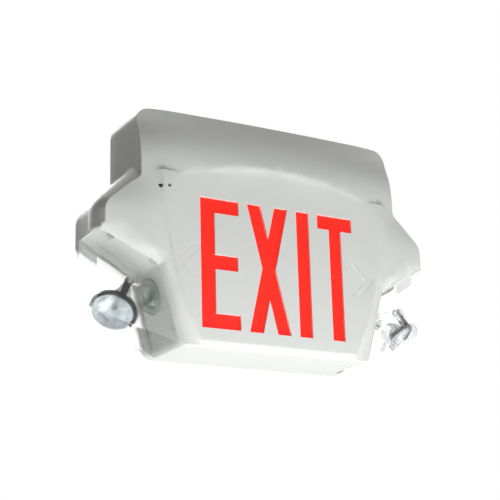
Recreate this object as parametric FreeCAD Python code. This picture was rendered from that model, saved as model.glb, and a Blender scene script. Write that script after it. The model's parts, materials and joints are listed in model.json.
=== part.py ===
import FreeCAD, Part
import os
from math import atan2, cos, hypot, pi, radians, sin, sqrt, tan

from FreeCAD import Placement, Rotation, Vector as V

# Wall-mounted emergency exit sign with an enclosed adjustable lamp under each wing.
# Millimetres, +Z up. The wall is the plane Y = 0, the sign faces -Y and X runs to the
# reader's right. The origin is the centre of the junction-box pattern on the wall.

# ---------------------------------------------------------------- overall sizes
body_depth = 90.0             # wall to the legend face
top_z = 140.0
body_height = 279.0
bottom_z = top_z - body_height
face_y = -body_depth
seam_y = -13.0                # the front cover meets the back plate here
wall_t = 2.6                  # moulded wall of the cover
plate_t = 3.0                 # floor of the back plate
fit_gap = 0.3                 # slack between parts that slide past each other

# ---------------------------------------------------------------- outline
tower_half = 171.0            # half width of the upper block, at the front
tower_draft = 3.4             # how much wider it is at the wall
tower_corner_r = 17.0
shoulder_z = 66.0             # the wing leaves the upper block here
shoulder_r = 5.0
tip_half = 219.5              # half width over the wing tips, at the front
tip_draft = -3.6
tip_top_z = 19.0
tip_top_r = 26.0
tip_bottom_z = -11.0
tip_bottom_r = 4.0
armpit_half = 149.0           # corner where the underside of the wing meets the flank
armpit_z = -49.5
armpit_r = 7.0
foot_half = 124.0             # bottom corner
foot_r = 12.0
edge_r = 1.5                  # moulded radius round the front edge
chin_r = 8.0                  # front edge of the underside
bay_bevel_w = 6.0             # bevel round each lamp bay
bay_lip = 9.0                 # how far the back plate reaches out under each bay

# ---------------------------------------------------------------- front skin
side_recess = 5.0             # the flanks lie this far behind the face at the bottom ...
recess_top_z = 62.0           # ... and level with it here
brow_depth = 4.5              # the brow stands this far in front of the face
brow_half = 124.0
brow_bottom_z = 67.5          # top of the arch, at the face
brow_step_h = 9.5             # height of the sloping step under the brow
arch_r = 720.0
dome_start_z = 10.0           # the dome of the brow fades in from here
crown_start_z = 70.0
crown_bend = 38.0             # length over which the top bends back
crown_slope = 0.34
wing_fall_start = 132.0
wing_fall_end = 244.5
wing_fall = 15.5              # how far the skin would fall back at wing_fall_end
wing_roll = 20.0              # how far the wing's front edge has rolled in at the face
wing_roll_y = -60.0           # where that roll begins

# ---------------------------------------------------------------- legend panel
crease = [(149.0, 60.0), (143.0, 8.0), (128.0, -66.0), (106.0, -120.0), (84.0, -150.0)]
crease_run = 11.0             # the sloping flank of the panel runs out this far ...
crease_drop = 8.0             # ... over this depth
legend_z = -42.0              # middle of the legend
window_w, window_h = 214.0, 166.0
diffuser_t = 2.0
box_wall = 1.6
box_depth = 27.0              # light box behind the legend
strip_h, strip_t = 9.0, 1.6   # LED strips
led_size, led_count = 3.2, 10

# ---------------------------------------------------------------- test button and status light
test_x, test_z = -150.0, 41.0
status_x, status_z = -140.0, 42.0
button_r, button_travel = 2.2, 1.2
status_r = 2.1

# ---------------------------------------------------------------- back plate
wire_entry_r = 11.0
box_screw_r = 2.4             # junction-box screw holes
box_pitch = 83.0              # and their spacing, up and down and across
keyhole_x, keyhole_z = 120.0, 96.0
keyhole_r, keyslot_r, keyslot_l = 4.5, 2.3, 9.0
low_screw_x, low_screw_z = 92.0, -96.0
boss_r, boss_bore_r = 5.0, 1.6
boss_places = [(-155.0, 118.0), (155.0, 118.0), (-108.0, -126.0), (108.0, -126.0)]

# ---------------------------------------------------------------- inner parts
battery_w, battery_d, battery_h = 70.0, 47.0, 101.0
battery_x, battery_z = 70.0, -116.0
strap_w, strap_t = 18.0, 1.2
board_w, board_h, board_t = 100.0, 84.0, 1.6
board_x, board_z = -66.0, -64.0
board_stand = 9.0
core_w, core_d, core_h = 52.0, 40.0, 44.0
core_x, core_z = -100.0, 74.0
coil_w, coil_grow = 26.0, 8.0
block_w, block_d, block_h = 46.0, 14.0, 16.0
block_x, block_z = -20.0, 62.0

# ---------------------------------------------------------------- lamp bay, right-hand side
cover_t = 1.8                 # clear cover
cover_setback = 2.0           # how far the cover's front lies behind the skin
cover_corner_r = 28.0
cover_corner_z = -108.3
lamp_face = V(189.7, -45.7, -99.3)
lamp_aim = V(0.473, -0.473, -0.743).normalize()
lamp_r = 25.0                 # MR16 rim
lamp_depth = 22.0             # reflector bowl
neck_r, neck_len = 6.6, 13.0
ring_t, ring_w = 2.0, 4.2
ring_gap = 0.15
tilt_pivot = V(179.0, -65.0, -68.0)
arm_t, arm_w = 3.0, 8.0
eye_r, eye_bore_r = 5.2, 1.55
screw_head_r, screw_head_t = 2.9, 2.0
disc_z, disc_y = -76.5, -43.0
disc_r, disc_t = 21.3, 3.2
hub_r, hub_flange_r = 5.0, 8.0
dome_r, dome_out, dome_t = 18.5, 17.0, 2.2
lug_r, lug_t = 6.0, 6.0
pin_fit = 0.05                # radial slack of the hub and of the tilt screw


# ---------------------------------------------------------------- plain shape helpers
def box(x0, x1, y0, y1, z0, z1):
    """Box between three pairs of limits."""
    return Part.makeBox(x1 - x0, y1 - y0, z1 - z0, V(x0, y0, z0))


def rod(radius, start, end):
    """Cylinder from one point to another."""
    return Part.makeCylinder(radius, (end - start).Length, start, end - start)


def fused(shapes):
    """One shape out of several."""
    return shapes[0].multiFuse(shapes[1:]) if len(shapes) > 1 else shapes[0]


def rounded_wire(corners, place):
    """Closed wire through 2-D corners ((u, v), radius); place(u, v) gives the 3-D point."""
    ends = []
    count = len(corners)
    for i in range(count):
        (u, v), radius = corners[i]
        (u0, v0), (u1, v1) = corners[i - 1][0], corners[(i + 1) % count][0]
        la, lb = hypot(u0 - u, v0 - v), hypot(u1 - u, v1 - v)
        da, db = ((u0 - u) / la, (v0 - v) / la), ((u1 - u) / lb, (v1 - v) / lb)
        half = 0.5 * abs(atan2(da[0] * db[1] - da[1] * db[0], da[0] * db[0] + da[1] * db[1]))
        reach = radius / tan(half)
        mid = (da[0] + db[0], da[1] + db[1])
        sag = (radius / sin(half) - radius) / hypot(*mid)
        ends.append((
            (u + da[0] * reach, v + da[1] * reach),
            (u + mid[0] * sag, v + mid[1] * sag),
            (u + db[0] * reach, v + db[1] * reach),
        ))
    edges = []
    for i in range(count):
        start, middle, end = (place(*p) for p in ends[i])
        following = place(*ends[(i + 1) % count][0])
        edges.append(Part.Arc(start, middle, end).toShape())
        edges.append(Part.LineSegment(end, following).toShape())
    return Part.Wire(edges)


def at_depth(y):
    """Placer of 2-D points in the plane at depth y."""
    return lambda x, z: V(x, y, z)


def moved_in(corners, steps):
    """Clockwise corners with each edge moved in by its own step; the radii follow."""
    count = len(corners)
    lines = []
    for i in range(count):
        (x0, z0), (x1, z1) = corners[i][0], corners[(i + 1) % count][0]
        length = hypot(x1 - x0, z1 - z0)
        dx, dz = (x1 - x0) / length, (z1 - z0) / length
        lines.append((x0 + dz * steps[i], z0 - dx * steps[i], dx, dz))
    result = []
    for i in range(count):
        ax, az, adx, adz = lines[i - 1]
        bx, bz, bdx, bdz = lines[i]
        cross = adx * bdz - adz * bdx
        t = ((bx - ax) * bdz - (bz - az) * bdx) / cross
        step = 0.5 * (steps[i - 1] + steps[i])
        radius = corners[i][1] + (-step if cross < 0 else step)
        result.append(((ax + adx * t, az + adz * t), max(radius, 0.8)))
    return result


def smooth(t):
    """Smooth step from 0 to 1."""
    t = min(max(t, 0.0), 1.0)
    return t * t * (3.0 - 2.0 * t)


def mirrored(shape):
    """The same piece on the other side of the sign."""
    return shape.mirror(V(0, 0, 0), V(1, 0, 0))


# ---------------------------------------------------------------- body forms
front_limit = face_y - 2 * brow_depth


def body_corners(y, inset=0.0, bay=None, wing=None):
    """Clockwise outline at depth y; bay and wing edges may move in by their own steps."""
    back = (y - face_y) / body_depth
    tower = tower_half + tower_draft * back
    tip = tip_half + tip_draft * back
    right = [
        ((tower, top_z), tower_corner_r),
        ((tower, shoulder_z), shoulder_r),
        ((tip, tip_top_z), tip_top_r),
        ((tip, tip_bottom_z), tip_bottom_r),
        ((armpit_half, armpit_z), armpit_r),
        ((foot_half, bottom_z), foot_r),
    ]
    left = [((-x, z), radius) for (x, z), radius in reversed(right)]
    bay = inset if bay is None else bay
    wing = inset if wing is None else wing
    steps = [inset, wing, wing, bay, bay, inset, bay, bay, wing, wing, inset, inset]
    return moved_in(right + left, steps)


def body_block(steps, inset=0.0):
    """Block of the body outline from the seam forwards, its wing edges rolled in."""
    wires = []
    for k in range(steps + 1):
        y = seam_y + (front_limit - seam_y) * sin(k * pi / 2 / steps)
        rolled = wing_roll * (max(wing_roll_y - y, 0.0) / (wing_roll_y - face_y)) ** 2
        wires.append(rounded_wire(body_corners(y, inset, wing=inset + rolled), at_depth(y)))
    return Part.makeLoft(wires, True, False)


def skin_depth(x, z):
    """How far the front skin lies behind the legend face at (x, z)."""
    recess = side_recess * smooth((recess_top_z - z) / (recess_top_z - bottom_z))
    fade = smooth((z - dome_start_z) / (recess_top_z - dome_start_z))
    dome = brow_depth * ((x / brow_half) ** 2 - 1.0) * fade
    rise = max(z - crown_start_z, 0.0)
    crown = crown_slope * (rise - crown_bend / 2)
    if rise < crown_bend:
        crown = crown_slope * rise * rise / (2 * crown_bend)
    fall = wing_fall * smooth((abs(x) - wing_fall_start) / (wing_fall_end - wing_fall_start))
    return recess + dome + crown + fall


def behind_skin(offset=0.0):
    """Everything behind the front skin, whose depth is moved back by offset."""
    half, low, high, columns, rows = 232.0, -150.0, 150.0, 14, 12
    net = []
    for i in range(columns + 1):
        x = half * (2 * i / columns - 1)
        heights = [low + (high - low) * k / rows for k in range(rows + 1)]
        net.append([V(x, face_y + skin_depth(x, z) + offset, z) for z in heights])
    skin = Part.BSplineSurface()
    skin.interpolate(net)
    return skin.toShape().extrude(V(0, body_depth + 40.0, 0))


def panel_wire(y, grow):
    """Outline of the raised legend panel at depth y."""
    curves = []
    for side in (1, -1):
        points = [V(side * (x + grow), y, z) for x, z in crease]
        curve = Part.BSplineCurve()
        curve.interpolate(points if side > 0 else points[::-1])
        curves.append(curve)
    right, left = curves
    across_foot = Part.LineSegment(right.EndPoint, left.StartPoint)
    across_top = Part.LineSegment(left.EndPoint, right.StartPoint)
    return Part.Wire([e.toShape() for e in (right, across_foot, left, across_top)])


def panel_block(offset=0.0, inset=0.0):
    """The raised legend panel with its sloping flanks, down to the wall."""
    y = face_y + offset
    foot = panel_wire(y + crease_drop, crease_run - inset)
    slopes = Part.makeLoft([panel_wire(y, -inset), foot], True, True)
    return slopes.fuse(Part.Face(foot).extrude(V(0, body_depth, 0)))


def under_brow(offset=0.0):
    """What the flat panel and the sloping step under the brow take out of the skin."""
    y = face_y + offset
    reach = 400.0
    side = brow_bottom_z - arch_r + sqrt(arch_r ** 2 - reach ** 2)
    corners = [V(reach, y, side), V(reach, y, -reach), V(-reach, y, -reach), V(-reach, y, side)]
    legs = [Part.LineSegment(corners[i], corners[i + 1]).toShape() for i in range(3)]
    arch = Part.Arc(corners[3], V(0, y, brow_bottom_z), corners[0]).toShape()
    return Part.Face(Part.Wire([arch] + legs)).extrude(V(0, -3 * brow_depth, 3 * brow_step_h))


def bay_wedge(width):
    """Bevel cutter along the front edge of the right-hand lamp bay, past both its ends."""
    over = 3.0
    tip, armpit, foot = (tip_half, tip_bottom_z), (armpit_half, armpit_z), (foot_half, bottom_z)

    def unit(a, b):
        length = hypot(b[0] - a[0], b[1] - a[1])
        return (b[0] - a[0]) / length, (b[1] - a[1]) / length

    def section(x, z, inward):
        y = face_y + skin_depth(x, z)
        points = []
        for across, deep in ((width + over, -over), (-over, width + over), (-over, -over)):
            points.append(V(x + inward[0] * across, y + deep, z + inward[1] * across))
        return Part.makePolygon(points + points[:1])

    d1, d2 = unit(tip, armpit), unit(armpit, foot)
    n1, n2 = (d1[1], -d1[0]), (d2[1], -d2[0])
    share = 1.0 + n1[0] * n2[0] + n1[1] * n2[1]
    mitre = ((n1[0] + n2[0]) / share, (n1[1] + n2[1]) / share)
    start = section(tip[0] - 10.0 * d1[0], tip[1] - 10.0 * d1[1], n1)
    middle = section(armpit[0], armpit[1], mitre)
    end = section(foot[0] + 12.0 * d2[0], foot[1] + 12.0 * d2[1], n2)
    return Part.makeLoft([start, middle, end], True, True)


def chin_cutter():
    """What the rounded front edge of the underside takes away."""
    out = 12.0
    centre_y, centre_z = face_y + chin_r, bottom_z + chin_r
    middle = V(0, centre_y - chin_r * cos(pi / 4), centre_z - chin_r * sin(pi / 4))
    high, low = V(0, face_y, centre_z), V(0, centre_y, bottom_z)
    corners = [low, V(0, centre_y, bottom_z - out), V(0, face_y - out, bottom_z - out)]
    corners += [V(0, face_y - out, centre_z), high]
    legs = [Part.LineSegment(corners[i], corners[i + 1]).toShape() for i in range(4)]
    profile = Part.Wire([Part.Arc(high, middle, low).toShape()] + legs)
    half = foot_half + 20.0
    profile.translate(V(-half, 0, 0))
    return Part.Face(profile).extrude(V(2 * half, 0, 0))


def front_edges(shape):
    """Edges where the front skin meets the sides and the top of the body."""
    edges = []
    for edge in shape.Edges:
        bound = edge.BoundBox
        one_sided = bound.XMin * bound.XMax > 0 and min(abs(bound.XMin), abs(bound.XMax)) > 125.5
        along_top = bound.ZMin > top_z - 1
        in_skin = seam_y - 49 > bound.YMax and bound.YMin > face_y - 2 * brow_depth
        in_panel = abs(bound.YMax - face_y) < 0.1
        across_panel = abs(bound.ZMin - crease[0][1]) < 0.5 or bound.ZLength > 150.0
        if (one_sided or along_top) and in_skin and not in_panel and not across_panel:
            edges.append(edge)
    return edges


def body_outside():
    """The cover as one solid lump, with its brow, panel, chin, edge radii and bay bevels."""
    lump = behind_skin().fuse(panel_block()).common(body_block(5))
    lump = lump.cut(under_brow()).removeSplitter().Solids[0]
    lump = lump.makeFillet(edge_r, front_edges(lump))
    wedge = bay_wedge(bay_bevel_w)
    return lump.cut(wedge).cut(mirrored(wedge)).cut(chin_cutter()).Solids[0]


def body_inside():
    """The hollow of the cover."""
    hollow = behind_skin(wall_t).fuse(panel_block(wall_t, wall_t))
    hollow = hollow.common(body_block(3, wall_t))
    wedge = bay_wedge(bay_bevel_w + wall_t * sqrt(2.0))
    hollow = hollow.cut(under_brow(wall_t)).cut(fused([wedge, mirrored(wedge)]))
    return hollow.cut(box(-tip_half, tip_half, face_y, 0, bottom_z - 1, bottom_z + wall_t))


# ---------------------------------------------------------------- housing
def hook(k, slack=0.0):
    """Hook k of the clear cover behind the bay bevel, or with slack the slot for it."""
    x, z, turn = [(203.0, -20.0, 28.6), (156.0, -45.7, 28.6), (129.8, -118.0, 74.4)][k]
    half = 4.0 + slack
    shape = box(-half, half, -1.0 - slack, 1.0 + slack, -1.0, wall_t + 1.2 + slack)
    if not slack:
        shape = shape.fuse(box(-half, half, cover_setback - bay_bevel_w - 2.5, 1.0, -2.6, -0.1))
    y = face_y + skin_depth(x, z) + bay_bevel_w + 3.0
    shape.Placement = Placement(V(x, y, z), Rotation(V(0, 1, 0), -turn))
    return shape


def front_cover(outside):
    """Moulded shell with the legend panel, the brow and both wings."""
    shell = outside.cut(body_inside())
    posts, bores = [], []
    for x, z in boss_places:
        y = face_y + skin_depth(x, z) + 0.5
        posts.append(rod(boss_r, V(x, y, z), V(x, seam_y, z)))
        bores.append(rod(boss_bore_r, V(x, seam_y - 16.0, z), V(x, seam_y + 1, z)))
    posts = fused(posts).common(behind_skin(wall_t / 2))
    button_hole = rod(button_r + fit_gap, V(test_x, face_y - 9, test_z), V(test_x, -70, test_z))
    status_hole = rod(status_r, V(status_x, face_y - 9, status_z), V(status_x, -70, status_z))
    hub_hole = rod(hub_r + 0.6, disc_point(-5.0), disc_point(5.0))
    slots = fused([hook(k, fit_gap) for k in range(3)])
    holes = [button_hole, status_hole, hub_hole, mirrored(hub_hole), slots, mirrored(slots)]
    return shell.fuse(posts).cut(fused(bores + holes))


def back_plate():
    """Tray against the wall, reaching out under each lamp bay."""
    def tray(inset, bay, y0, y1):
        corners = body_corners(seam_y, inset, bay=bay)
        return Part.Face(rounded_wire(corners, at_depth(y0))).extrude(V(0, y1 - y0, 0))

    tongue = tray(wall_t + fit_gap, None, seam_y - 4.0, seam_y + 1)
    inner = wall_t + fit_gap + 1.8
    pocket = tray(inner, None, seam_y - 5.0, -plate_t)
    lip_core = tray(wall_t, wall_t - bay_lip, seam_y + wall_t, 1)
    lip_core = lip_core.cut(tray(0.0, inner - 2 * wall_t, seam_y, 2))
    plate = tray(0.0, -bay_lip, seam_y, 0).fuse(tongue).cut(pocket).cut(lip_core)
    posts, holes = [], []
    for x, z in boss_places:
        posts.append(rod(boss_r, V(x, seam_y, z), V(x, -1, z)))
        holes.append(rod(boss_bore_r + 0.4, V(x, seam_y - 1, z), V(x, 1, z)))
    posts.append(rod(wire_entry_r + 3.0, V(0, -7.0, 0), V(0, -1, 0)))
    holes.append(rod(wire_entry_r, V(0, -8.0, 0), V(0, 1, 0)))
    for dx, dz in ((1, 0), (-1, 0), (0, 1), (0, -1)):
        x, z = dx * box_pitch / 2, dz * box_pitch / 2
        holes.append(rod(box_screw_r, V(x, -8, z), V(x, 1, z)))
    for x, z in ((keyhole_x, keyhole_z), (-keyhole_x, keyhole_z)):
        holes.append(rod(keyhole_r, V(x, -8, z), V(x, 1, z)))
        holes.append(rod(keyslot_r, V(x, -8, z + keyslot_l), V(x, 1, z + keyslot_l)))
        holes.append(box(x - keyslot_r, x + keyslot_r, -8, 1, z, z + keyslot_l))
    for x in (low_screw_x, -low_screw_x):
        holes.append(rod(keyslot_r, V(x, -8, low_screw_z), V(x, 1, low_screw_z)))
    ribs = [box(x - 1, x + 1, -8, -plate_t + 0.5, 96, 132) for x in (-78.0, -26.0, 26.0, 78.0)]
    return plate.fuse(posts + ribs).cut(fused(holes))


def window_prism(inset, y0, y1):
    """Prism of the lit window, whose lower corners clear the panel's sloping flanks."""
    w, h = window_w / 2 - inset, window_h / 2 - inset
    cut_w, cut_h = 10.0, 13.0
    right = [(w, legend_z + h), (w, legend_z - h + cut_h), (w - cut_w, legend_z - h)]
    points = [V(x, y0, z) for x, z in right] + [V(-x, y0, z) for x, z in reversed(right)]
    return Part.Face(Part.makePolygon(points + points[:1])).extrude(V(0, y1 - y0, 0))


def light_box():
    """White tray behind the red sheet, lit by a strip above and one below."""
    front = face_y + wall_t + diffuser_t
    tray = window_prism(0.0, front, front + box_depth)
    return tray.cut(window_prism(box_wall, front - 1, front + box_depth - box_wall))


def diffuser():
    """Red sheet pressed between the light box and the back of the legend panel."""
    return window_prism(0.0, face_y + wall_t, face_y + wall_t + diffuser_t)


def led_strip(above):
    """Row of LEDs on a narrow board inside the top or bottom wall of the light box."""
    sign = 1 if above else -1
    wall_z = legend_z + sign * (window_h / 2 - box_wall)
    middle_y = face_y + wall_t + diffuser_t + box_depth / 2
    half = window_w / 2 - (16.0 if not above else 8.0)

    def slab(x0, x1, half_y, near, far):
        z0, z1 = sorted((wall_z - sign * near, wall_z - sign * far))
        return box(x0, x1, middle_y - half_y, middle_y + half_y, z0, z1)

    pieces = [slab(-half, half, strip_h / 2, 0.0, strip_t)]
    for k in range(led_count):
        x = half * ((2 * k + 1) / led_count - 1)
        pieces.append(slab(x - led_size / 2, x + led_size / 2, led_size / 2, strip_t, strip_t + 1.4))
    return fused(pieces)


def test_button():
    """Push button in the face, with the flange that keeps it in."""
    skin = face_y + skin_depth(test_x, test_z)
    stem = rod(button_r, V(test_x, skin + 0.8, test_z), V(test_x, skin + 14.0, test_z))
    flange_y = skin + wall_t + 1.0
    return stem.fuse(rod(button_r + 1.6, V(test_x, flange_y, test_z), V(test_x, flange_y + 1.4, test_z)))


def test_switch():
    """Switch on a post that the button presses on."""
    y = face_y + skin_depth(test_x, test_z) + 14.0 + button_travel + 0.2
    body = box(test_x - 6, test_x + 6, y, y + 8.0, test_z - 5, test_z + 5)
    post = box(test_x - 4, test_x + 4, y + 8.0, -plate_t, test_z - 4, test_z + 4)
    return body.fuse(post)


def status_light():
    """Clear pipe from the face to the post that holds its LED."""
    skin = face_y + skin_depth(status_x, status_z)
    pipe = rod(status_r, V(status_x, skin + 0.4, status_z), V(status_x, skin + 12.0, status_z))
    foot = box(status_x - 2.6, status_x + 3.0, skin + 12.0, -plate_t, status_z - 2.6, status_z + 2.6)
    return pipe.fuse(foot)


# ---------------------------------------------------------------- inner parts
def battery():
    """Sealed rechargeable battery with its two tabs."""
    x0, z0, y1 = battery_x - battery_w / 2, battery_z, -plate_t
    case = box(x0, x0 + battery_w, y1 - battery_d, y1, z0, z0 + battery_h)
    lid_z = z0 + battery_h
    lid = box(x0 + 3, x0 + battery_w - 3, y1 - battery_d + 3, y1 - 3, lid_z, lid_z + 3.0)
    tabs = [box(battery_x + dx - 2.4, battery_x + dx + 2.4, y1 - 14.0, y1 - 13.2, lid_z + 3, lid_z + 9)
            for dx in (-22.0, 22.0)]
    return fused([case, lid] + tabs)


def battery_strap():
    """Bent steel strap that holds the battery to the back plate."""
    z0 = battery_z + battery_h / 2 - strap_w / 2
    half, y0, foot = battery_w / 2, -plate_t - battery_d, 12.0
    outer = box(battery_x - half - strap_t, battery_x + half + strap_t, y0 - strap_t, -plate_t,
                z0, z0 + strap_w)
    inner = box(battery_x - half, battery_x + half, y0, 1, z0 - 1, z0 + strap_w + 1)
    feet = box(battery_x - half - foot, battery_x + half + foot, -plate_t - strap_t, -plate_t,
               z0, z0 + strap_w)
    return outer.fuse(feet).cut(inner)


def charger_board():
    """Circuit board on four stand-offs, with its relay, capacitor and fuse."""
    x0, z0 = board_x - board_w / 2, board_z - board_h / 2
    y1 = -plate_t - board_stand
    y0 = y1 - board_t
    pieces = [box(x0, x0 + board_w, y0, y1, z0, z0 + board_h)]
    for x in (x0 + 5, x0 + board_w - 5):
        for z in (z0 + 5, z0 + board_h - 5):
            pieces.append(box(x - 2.5, x + 2.5, y1, -plate_t, z - 2.5, z + 2.5))
    pieces.append(box(board_x + 18, board_x + 37, y0 - 15.5, y0, board_z + 14, board_z + 30))
    for x, radius, tall in ((board_x - 30, 6.3, 20.0), (board_x - 12, 5.0, 12.0)):
        pieces.append(rod(radius, V(x, y0, board_z + 20), V(x, y0 - tall, board_z + 20)))
    for k in range(3):
        x = board_x - 42 + 22 * k
        pieces.append(box(x, x + 10.0, y0 - 3.0, y0, board_z - 24, board_z - 16))
    pieces.append(box(board_x + 30, board_x + 52, y0 - 6.5, y0, board_z - 28, board_z - 21))
    return fused(pieces)


def transformer():
    """Mains transformer: a laminated core with feet, and its winding."""
    x0, z0, y1 = core_x - core_w / 2, core_z - core_h / 2, -plate_t
    window_x, window_z = (core_w - coil_w) / 4, core_h / 4
    core = box(x0, x0 + core_w, y1 - core_d + 6, y1 - 6, z0, z0 + core_h)
    feet = box(x0 - 7, x0 + core_w + 7, y1 - 7.2, y1, z0 + core_h / 2 - 8, z0 + core_h / 2 + 8)
    windows = [box(core_x + s * (coil_w / 2 + window_x / 2) - window_x / 2 - 1,
                   core_x + s * (coil_w / 2 + window_x / 2) + window_x / 2 + 1,
                   y1 - core_d, y1 - 1, core_z - window_z, core_z + window_z) for s in (1, -1)]
    coil = box(core_x - coil_w / 2 - coil_grow, core_x + coil_w / 2 + coil_grow, y1 - core_d, y1 - 8,
               core_z - window_z, core_z + window_z)
    return core.cut(fused(windows)).fuse([feet, coil])


def terminal_block():
    """Row of screw terminals for the supply wires."""
    x0, z0, y1 = block_x - block_w / 2, block_z - block_h / 2, -plate_t
    body = box(x0, x0 + block_w, y1 - block_d, y1, z0, z0 + block_h)
    wells = []
    for k in range(4):
        x = x0 + block_w * (2 * k + 1) / 8
        wells.append(box(x - 2.4, x + 2.4, y1 - block_d - 1, y1 - block_d + 5, block_z - 2.4, block_z + 2.4))
        wells.append(box(x - 1.8, x + 1.8, y1 - 8, y1 - 4, z0 - 1, z0 + block_h + 1))
    return body.cut(fused(wells))


# ---------------------------------------------------------------- lamp bay, right-hand side
flank_dir = V(armpit_half - foot_half, 0, armpit_z - bottom_z).normalize()
pan_axis = V(flank_dir.z, 0, -flank_dir.x)
disc_centre = V(foot_half + (disc_z - bottom_z) * flank_dir.x / flank_dir.z, disc_y, disc_z)


def disc_point(out):
    """Point on the pan axis, out millimetres off the flank."""
    return disc_centre + pan_axis * out


def bay_corners(grow):
    """Outline of the clear cover, grown past the body's walls by grow."""
    corners = [
        ((tip_half, tip_bottom_z), tip_bottom_r),
        ((tip_half, cover_corner_z), cover_corner_r),
        ((foot_half, bottom_z), 1.0),
        ((armpit_half, armpit_z), armpit_r),
    ]
    return moved_in(corners, [0.0, 0.0, -grow, -grow])


def lamp_cover(outside):
    """Clear tub that closes the bay: front, outer, under and back walls, with three hooks."""
    def tub(inset, setback, y1):
        corners = moved_in(bay_corners(5.0), [inset, inset, -inset, -inset])
        face = Part.Face(rounded_wire(corners, at_depth(face_y)))
        return face.extrude(V(0, y1 - face_y, 0)).common(behind_skin(setback))

    shell = tub(0.0, cover_setback, seam_y).cut(tub(cover_t, cover_setback + cover_t, seam_y - cover_t))
    return shell.cut(outside).Solids[0].fuse([hook(k) for k in range(3)])


def turned(profile, axis_start, axis, x_dir, angle=360.0):
    """Solid of revolution of a closed (radius, along) profile about an axis."""
    face = Part.Face(Part.makePolygon([V(r, 0, h) for r, h in profile + profile[:1]]))
    solid = face.revolve(V(0, 0, 0), V(0, 0, 1), angle)
    solid.Placement = Placement(axis_start, Rotation(x_dir, axis.cross(x_dir), axis, "ZXY"))
    return solid


def swivel_base():
    """Ringed disc fixed to the flank, with the bearing of the hub through it."""
    bore = hub_r + pin_fit
    profile = [(bore, -1.0), (bore, disc_t - 1.0), (9.0, disc_t - 1.0), (9.0, disc_t),
               (disc_r - 1, disc_t), (disc_r, disc_t - 1.0), (disc_r, 0.0), (hub_r + 0.6, 0.0),
               (hub_r + 0.6, -1.0)]
    return turned(profile, disc_centre, pan_axis, V(0, 1, 0))


def pan_hub():
    """Black hub that turns in the base, held by its flange inside the flank."""
    inside = -wall_t - fit_gap
    profile = [(0.0, inside - 2.4), (hub_flange_r, inside - 2.4), (hub_flange_r, inside), (hub_r, inside),
               (hub_r, dome_out - 8.0), (2.4, dome_out - 8.0), (2.4, dome_out - 11.0), (0.0, dome_out - 11.0)]
    return turned(profile, disc_centre, pan_axis, V(0, 1, 0))


def lug_start():
    """Where the lug of the swivel dome leaves the dome."""
    return disc_point(9.0) + V(0, -9.0, 2.5)


def swivel_dome():
    """Clear cap on the hub, whose lug carries the tilt screw."""
    def cap(radius, out, steps=3):
        arc = [(radius * cos(k * pi / 2 / steps), out * sin(k * pi / 2 / steps)) for k in range(steps)]
        return [(0.0, 0.0)] + arc + [(0.0, out)]

    base = disc_point(disc_t + fit_gap)
    rise = dome_out - disc_t
    outer = turned(cap(dome_r, rise), base, pan_axis, V(0, 1, 0))
    inner = turned(cap(dome_r - dome_t, rise - dome_t), base, pan_axis, V(0, 1, 0))
    boss_from = tilt_pivot + V(0, arm_t / 2 + fit_gap, 0)
    boss = rod(lug_r, boss_from, boss_from + V(0, lug_t, 0))
    start, end = lug_start(), boss_from + V(0, lug_t / 2, 0)
    lug = Part.makeCone(8.0, lug_t / 2 - 0.2, (end - start).Length, start, end - start)
    post = rod(hub_r + 2.0, base + pan_axis * 1.0, base + pan_axis * (rise - 1.5))
    bore = rod(hub_r, disc_point(0.0), disc_point(dome_out - 8.0))
    solid = outer.fuse([lug, boss]).cut(inner).fuse(post).cut(bore)
    return solid.cut(rod(eye_bore_r - pin_fit, tilt_pivot, boss_from + V(0, lug_t - 1, 0)))


def tilt_screw():
    """Plated screw through the eye of the arm into the lug."""
    head_y = tilt_pivot.y - arm_t / 2
    head = rod(screw_head_r, V(tilt_pivot.x, head_y - screw_head_t, tilt_pivot.z),
               V(tilt_pivot.x, head_y, tilt_pivot.z))
    shank_end = tilt_pivot + V(0, arm_t / 2 + fit_gap + lug_t - 1, 0)
    return head.fuse(rod(eye_bore_r - pin_fit, V(tilt_pivot.x, head_y, tilt_pivot.z), shank_end))


def arm_side():
    """Unit direction from the lamp's axis to the side where the arm holds its rim."""
    towards = tilt_pivot - lamp_face
    return (towards - lamp_aim * towards.dot(lamp_aim)).normalize()


def lamp_ring():
    """Black C-shaped clip round the side of the rim that the arm holds."""
    inner = lamp_r + ring_gap
    profile = [(lamp_r - 1.8, 0.1), (lamp_r - 1.8, 1.3), (inner + ring_t, 1.3),
               (inner + ring_t, 1.3 - ring_w), (inner, 1.3 - ring_w), (inner, 0.1)]
    half_turn = 105.0
    clip = turned(profile, lamp_face, lamp_aim, arm_side(), 2 * half_turn)
    clip.rotate(lamp_face, lamp_aim, -half_turn)
    return clip


def lamp_arm():
    """Black arm from the tilt screw to the clip, with a round eye."""
    eye = rod(eye_r, tilt_pivot - V(0, arm_t / 2, 0), tilt_pivot + V(0, arm_t / 2, 0))
    inner = lamp_r + ring_gap + ring_t
    end = lamp_face + arm_side() * (inner + arm_t / 2 - 0.3) - lamp_aim * (ring_w / 2 - 1.3)
    along = end - tilt_pivot
    bar = box(-arm_w / 2, arm_w / 2, -arm_t / 2, arm_t / 2, screw_head_r + 0.8, along.Length + 1.5)
    across = along.cross(V(0, 1, 0)).normalize()
    bar.Placement = Placement(tilt_pivot, Rotation(across, V(0, 0, 0), along.normalize(), "ZXY"))
    bore = rod(eye_bore_r, tilt_pivot - V(0, arm_t, 0), tilt_pivot + V(0, arm_t, 0))
    clip_space = turned([(0.0, 4.0), (inner, 4.0), (inner, -6.0), (0.0, -6.0)],
                        lamp_face, lamp_aim, arm_side())
    return eye.fuse(bar).cut(bore).cut(clip_space)


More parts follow.
